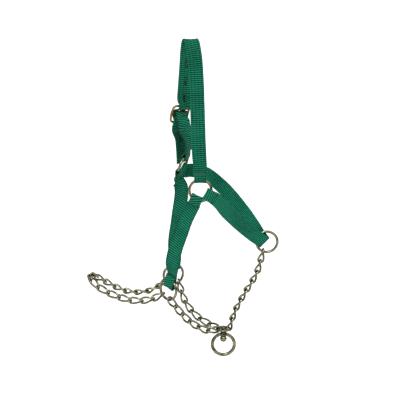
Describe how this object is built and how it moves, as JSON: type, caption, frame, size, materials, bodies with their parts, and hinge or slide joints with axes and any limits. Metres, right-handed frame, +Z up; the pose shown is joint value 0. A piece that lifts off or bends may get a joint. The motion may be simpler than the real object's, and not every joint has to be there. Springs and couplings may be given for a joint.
{
  "type": "head halter",
  "caption": "Dog head halter of webbing straps on welded rings, with a centre-bar buckle, a chain nose loop and chin chains that meet in a swivel ring.",
  "frame": {"origin": "the poll: inside the fold of the crown strap, where it rests on the head behind the ears", "axes": "+X from the muzzle towards the throat, +Y from the near side to the far side, +Z up"},
  "size_m": [0.2599, 0.1115, 0.4378],
  "materials": {
    "webbing": "woven nylon, matte",
    "nickel": "nickel plated, polished",
    "brass": "polished"
  },
  "bodies": {
    "straps": {"crown_strap": "webbing", "buckle_strap": "webbing", "near_cheek_strap": "webbing", "far_cheek_strap": "webbing", "throat_strap": "webbing", "swivel_eye": "nickel", "swivel_pin": "nickel"},
    "near_cheek_ring": {"near_cheek_ring": "nickel"},
    "far_cheek_ring": {"far_cheek_ring": "nickel"},
    "near_jaw_ring": {"near_jaw_ring": "nickel"},
    "far_jaw_ring": {"far_jaw_ring": "nickel"},
    "throat_ring": {"throat_ring": "nickel"},
    "buckle_frame": {"buckle_frame": "brass"},
    "buckle_tongue": {"buckle_tongue": "brass"},
    "lead_ring": {"lead_ring": "nickel"},
    "throat_link_01": {"throat_link_01": "nickel"},
    "throat_link_02": {"throat_link_02": "nickel"},
    "throat_link_03": {"throat_link_03": "nickel"},
    "throat_link_04": {"throat_link_04": "nickel"},
    "throat_link_05": {"throat_link_05": "nickel"},
    "throat_link_06": {"throat_link_06": "nickel"},
    "throat_link_07": {"throat_link_07": "nickel"},
    "throat_link_08": {"throat_link_08": "nickel"},
    "near_chin_link_01": {"near_chin_link_01": "nickel"},
    "near_chin_link_02": {"near_chin_link_02": "nickel"},
    "near_chin_link_03": {"near_chin_link_03": "nickel"},
    "near_chin_link_04": {"near_chin_link_04": "nickel"},
    "near_chin_link_05": {"near_chin_link_05": "nickel"},
    "near_chin_link_06": {"near_chin_link_06": "nickel"},
    "far_chin_link_01": {"far_chin_link_01": "nickel"},
    "far_chin_link_02": {"far_chin_link_02": "nickel"},
    "far_chin_link_03": {"far_chin_link_03": "nickel"},
    "far_chin_link_04": {"far_chin_link_04": "nickel"},
    "far_chin_link_05": {"far_chin_link_05": "nickel"},
    "far_chin_link_06": {"far_chin_link_06": "nickel"},
    "nose_link_01": {"nose_link_01": "nickel"},
    "nose_link_02": {"nose_link_02": "nickel"},
    "nose_link_03": {"nose_link_03": "nickel"},
    "nose_link_04": {"nose_link_04": "nickel"},
    "nose_link_05": {"nose_link_05": "nickel"},
    "nose_link_06": {"nose_link_06": "nickel"},
    "nose_link_07": {"nose_link_07": "nickel"},
    "nose_link_08": {"nose_link_08": "nickel"},
    "nose_link_09": {"nose_link_09": "nickel"},
    "nose_link_10": {"nose_link_10": "nickel"},
    "nose_link_11": {"nose_link_11": "nickel"},
    "nose_link_12": {"nose_link_12": "nickel"},
    "nose_link_13": {"nose_link_13": "nickel"},
    "nose_link_14": {"nose_link_14": "nickel"},
    "nose_link_15": {"nose_link_15": "nickel"},
    "nose_link_16": {"nose_link_16": "nickel"}
  },
  "joints": [
    {"name": "near_cheek_ring_spin", "type": "hinge", "parent": "straps", "child": "near_cheek_ring", "pos_m": [0.0128, -0.042, -0.1904], "axis": [0, -0.9929, 0.1191], "continuous": true},
    {"name": "far_cheek_ring_spin", "type": "hinge", "parent": "straps", "child": "far_cheek_ring", "pos_m": [-0.011, 0.042, -0.1746], "axis": [0.8917, -0.2975, -0.3411], "continuous": true},
    {"name": "near_jaw_ring_spin", "type": "hinge", "parent": "straps", "child": "near_jaw_ring", "pos_m": [-0.0303, -0.025, -0.331], "axis": [-0.6603, -0.7503, 0.033], "continuous": true},
    {"name": "far_jaw_ring_spin", "type": "hinge", "parent": "straps", "child": "far_jaw_ring", "pos_m": [-0.0248, 0.035, -0.3291], "axis": [-0.3696, 0.929, 0.0185], "continuous": true},
    {"name": "throat_ring_spin", "type": "hinge", "parent": "straps", "child": "throat_ring", "pos_m": [0.1026, 0, -0.2718], "axis": [0, -1, 0], "continuous": true},
    {"name": "buckle_frame_tilt", "type": "hinge", "parent": "straps", "child": "buckle_frame", "pos_m": [-0.0135, 0.031, -0.101], "axis": [-0.8335, -0.5485, 0.0669], "range_deg": [-3, 1]},
    {"name": "buckle_tongue_lift", "type": "hinge", "parent": "buckle_frame", "child": "buckle_tongue", "pos_m": [-0.0135, 0.031, -0.101], "axis": [-0.8335, -0.5485, 0.0669], "range_deg": [0, 70]},
    {"name": "lead_ring_swivel", "type": "hinge", "parent": "straps", "child": "lead_ring", "pos_m": [0.0445, 0, -0.3964], "axis": [0, 0, 1], "continuous": true},
    {"name": "throat_chain_swing", "type": "hinge", "parent": "straps", "child": "throat_link_01", "pos_m": [0.09778, 0, -0.2835], "axis": [-0.3697, 0.0271, -0.9288], "range_deg": [-18, 18]},
    {"name": "throat_link_02_roll", "type": "hinge", "parent": "throat_link_01", "child": "throat_link_02", "pos_m": [0.09219, -0.00111, -0.30619], "axis": [-0.2654, -0.0341, -0.9635], "range_deg": [-10, 10]},
    {"name": "throat_link_03_roll", "type": "hinge", "parent": "throat_link_01", "child": "throat_link_03", "pos_m": [0.08676, -0.00098, -0.32073], "axis": [-0.4305, 0.0504, -0.9012], "range_deg": [-10, 10]},
    {"name": "throat_link_04_roll", "type": "hinge", "parent": "throat_link_01", "child": "throat_link_04", "pos_m": [0.07945, 0.00016, -0.33445], "axis": [-0.5066, 0.0955, -0.8569], "range_deg": [-10, 10]},
    {"name": "throat_link_05_roll", "type": "hinge", "parent": "throat_link_01", "child": "throat_link_05", "pos_m": [0.07186, 0.00162, -0.34799], "axis": [-0.4671, 0.0919, -0.8794], "range_deg": [-10, 10]},
    {"name": "throat_link_06_roll", "type": "hinge", "parent": "throat_link_01", "child": "throat_link_06", "pos_m": [0.06485, 0.00295, -0.36186], "axis": [-0.431, 0.0785, -0.8989], "range_deg": [-10, 10]},
    {"name": "throat_link_07_roll", "type": "hinge", "parent": "throat_link_01", "child": "throat_link_07", "pos_m": [0.05894, 0.00362, -0.37624], "axis": [-0.3267, 0.0072, -0.9451], "range_deg": [-10, 10]},
    {"name": "throat_link_08_roll", "type": "hinge", "parent": "throat_link_01", "child": "throat_link_08", "pos_m": [0.05431, 0.00351, -0.39074], "axis": [-0.281, -0.0215, -0.9595], "range_deg": [-6, 6]},
    {"name": "near_chin_chain_swing", "type": "hinge", "parent": "straps", "child": "near_chin_link_01", "pos_m": [-0.02916, -0.02763, -0.34357], "axis": [0.7533, 0.2852, -0.5926], "range_deg": [-15, 15]},
    {"name": "near_chin_link_02_roll", "type": "hinge", "parent": "near_chin_link_01", "child": "near_chin_link_02", "pos_m": [-0.01611, -0.02214, -0.36219], "axis": [0.5733, 0.2346, -0.7851], "range_deg": [-10, 10]},
    {"name": "near_chin_link_03_roll", "type": "hinge", "parent": "near_chin_link_01", "child": "near_chin_link_03", "pos_m": [-0.00675, -0.01848, -0.37411], "axis": [0.6265, 0.2352, -0.7431], "range_deg": [-10, 10]},
    {"name": "near_chin_link_04_roll", "type": "hinge", "parent": "near_chin_link_01", "child": "near_chin_link_04", "pos_m": [0.00411, -0.0148, -0.38457], "axis": [0.7666, 0.2363, -0.5971], "range_deg": [-10, 10]},
    {"name": "near_chin_link_05_roll", "type": "hinge", "parent": "near_chin_link_01", "child": "near_chin_link_05", "pos_m": [0.01671, -0.01093, -0.39283], "axis": [0.8478, 0.2595, -0.4624], "range_deg": [-10, 10]},
    {"name": "near_chin_link_06_roll", "type": "hinge", "parent": "near_chin_link_01", "child": "near_chin_link_06", "pos_m": [0.0304, -0.00565, -0.39622], "axis": [0.9082, 0.4175, 0.028], "range_deg": [-6, 6]},
    {"name": "far_chin_chain_swing", "type": "hinge", "parent": "straps", "child": "far_chin_link_01", "pos_m": [-0.01749, 0.0391, -0.33913], "axis": [0.6331, -0.4043, -0.6601], "range_deg": [-15, 15]},
    {"name": "far_chin_link_02_roll", "type": "hinge", "parent": "far_chin_link_01", "child": "far_chin_link_02", "pos_m": [-0.01113, 0.02916, -0.3593], "axis": [0.3451, -0.3951, -0.8513], "range_deg": [-10, 10]},
    {"name": "far_chin_link_03_roll", "type": "hinge", "parent": "far_chin_link_01", "child": "far_chin_link_03", "pos_m": [-0.00398, 0.02386, -0.37194], "axis": [0.5708, -0.2847, -0.7701], "range_deg": [-10, 10]},
    {"name": "far_chin_link_04_roll", "type": "hinge", "parent": "far_chin_link_01", "child": "far_chin_link_04", "pos_m": [0.00615, 0.01931, -0.38276], "axis": [0.7285, -0.2978, -0.6169], "range_deg": [-10, 10]},
    {"name": "far_chin_link_05_roll", "type": "hinge", "parent": "far_chin_link_01", "child": "far_chin_link_05", "pos_m": [0.01858, 0.01459, -0.39066], "axis": [0.8654, -0.3084, -0.395], "range_deg": [-10, 10]},
    {"name": "far_chin_link_06_roll", "type": "hinge", "parent": "far_chin_link_01", "child": "far_chin_link_06", "pos_m": [0.03166, 0.00792, -0.39536], "axis": [0.8116, -0.5457, -0.2086], "range_deg": [-6, 6]},
    {"name": "nose_chain_swing", "type": "hinge", "parent": "straps", "child": "nose_link_01", "pos_m": [-0.0373, -0.01746, -0.33954], "axis": [0.0618, 0.9961, 0.0629], "range_deg": [-20, 20]},
    {"name": "nose_link_02_roll", "type": "hinge", "parent": "nose_link_01", "child": "nose_link_02", "pos_m": [-0.05862, -0.02341, -0.34636], "axis": [-0.98, -0.1442, -0.1371], "range_deg": [-10, 10]},
    {"name": "nose_link_03_roll", "type": "hinge", "parent": "nose_link_01", "child": "nose_link_03", "pos_m": [-0.07404, -0.02488, -0.34688], "axis": [-0.9965, -0.0446, 0.0704], "range_deg": [-10, 10]},
    {"name": "nose_link_04_roll", "type": "hinge", "parent": "nose_link_01", "child": "nose_link_04", "pos_m": [-0.0893, -0.02503, -0.34416], "axis": [-0.9602, 0.0262, 0.2781], "range_deg": [-10, 10]},
    {"name": "nose_link_05_roll", "type": "hinge", "parent": "nose_link_01", "child": "nose_link_05", "pos_m": [-0.10399, -0.02431, -0.33906], "axis": [-0.9239, 0.0662, 0.3768], "range_deg": [-10, 10]},
    {"name": "nose_link_06_roll", "type": "hinge", "parent": "nose_link_01", "child": "nose_link_06", "pos_m": [-0.11798, -0.02231, -0.33256], "axis": [-0.8697, 0.1897, 0.4557], "range_deg": [-10, 10]},
    {"name": "nose_link_07_roll", "type": "hinge", "parent": "nose_link_01", "child": "nose_link_07", "pos_m": [-0.12966, -0.01596, -0.32538], "axis": [-0.6269, 0.6252, 0.4648], "range_deg": [-3, 3]},
    {"name": "nose_link_08_roll", "type": "hinge", "parent": "nose_link_01", "child": "nose_link_08", "pos_m": [-0.1357, -0.00339, -0.32118], "axis": [-0.1482, 0.9862, 0.0736], "range_deg": [-3, 3]},
    {"name": "nose_link_09_roll", "type": "hinge", "parent": "nose_link_01", "child": "nose_link_09", "pos_m": [-0.13368, 0.01083, -0.32348], "axis": [0.4068, 0.8363, -0.3675], "range_deg": [-3, 3]},
    {"name": "nose_link_10_roll", "type": "hinge", "parent": "nose_link_01", "child": "nose_link_10", "pos_m": [-0.12479, 0.02026, -0.33078], "axis": [0.7331, 0.373, -0.5688], "range_deg": [-3, 3]},
    {"name": "nose_link_11_roll", "type": "hinge", "parent": "nose_link_01", "child": "nose_link_11", "pos_m": [-0.11258, 0.0245, -0.33932], "axis": [0.8332, 0.1704, -0.5261], "range_deg": [-10, 10]},
    {"name": "nose_link_12_roll", "type": "hinge", "parent": "nose_link_01", "child": "nose_link_12", "pos_m": [-0.09901, 0.02625, -0.34669], "axis": [0.9061, 0.0536, -0.4196], "range_deg": [-10, 10]},
    {"name": "nose_link_13_roll", "type": "hinge", "parent": "nose_link_01", "child": "nose_link_13", "pos_m": [-0.08431, 0.02741, -0.35139], "axis": [0.9786, 0.0955, -0.1824], "range_deg": [-10, 10]},
    {"name": "nose_link_14_roll", "type": "hinge", "parent": "nose_link_01", "child": "nose_link_14", "pos_m": [-0.06893, 0.02893, -0.35238], "axis": [0.9935, 0.0995, 0.0558], "range_deg": [-10, 10]},
    {"name": "nose_link_15_roll", "type": "hinge", "parent": "nose_link_01", "child": "nose_link_15", "pos_m": [-0.05406, 0.03012, -0.34879], "axis": [0.913, 0.0524, 0.4045], "range_deg": [-10, 10]},
    {"name": "nose_link_16_roll", "type": "hinge", "parent": "nose_link_01", "child": "nose_link_16", "pos_m": [-0.04062, 0.0307, -0.34106], "axis": [0.8098, 0.0231, 0.5863], "range_deg": [-6, 6]}
  ]
}
